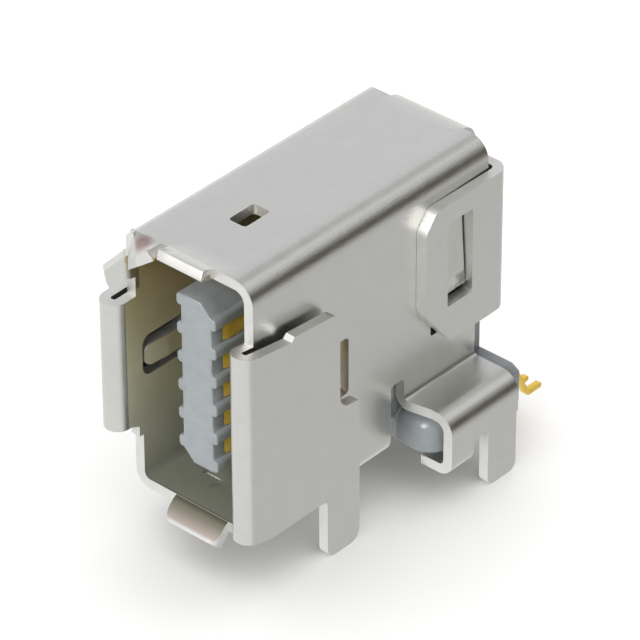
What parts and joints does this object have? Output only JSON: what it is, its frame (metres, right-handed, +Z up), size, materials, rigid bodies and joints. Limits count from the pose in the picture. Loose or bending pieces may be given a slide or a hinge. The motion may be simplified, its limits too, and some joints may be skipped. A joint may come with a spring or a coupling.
{
  "type": "shielded board jack",
  "caption": "Miniature right-angle board jack: folded metal shell round a keyed plastic tongue with sprung contacts, gull-wing tails and through-board legs.",
  "frame": {"origin": "on the board's face, below the middle of the mouth, where the rim of the mouth ends", "axes": "+Z up from the board, -Y out of the mouth towards the plug, +X towards the right wall as in the picture"},
  "size_m": [0.0082, 0.0129, 0.0106],
  "materials": {
    "shell_plate": "satin nickel plate on thin sheet",
    "housing_plastic": "moulded, cool grey",
    "contact_gold": "gold plate"
  },
  "bodies": {
    "root": {"shell": "shell_plate", "housing": "housing_plastic", "contact_right_1": "contact_gold", "contact_right_2": "contact_gold", "contact_right_3": "contact_gold", "contact_right_4": "contact_gold", "contact_right_5": "contact_gold", "contact_left_1": "contact_gold", "contact_left_2": "contact_gold", "contact_left_3": "contact_gold", "contact_left_4": "contact_gold", "contact_left_5": "contact_gold"}
  },
  "joints": []
}
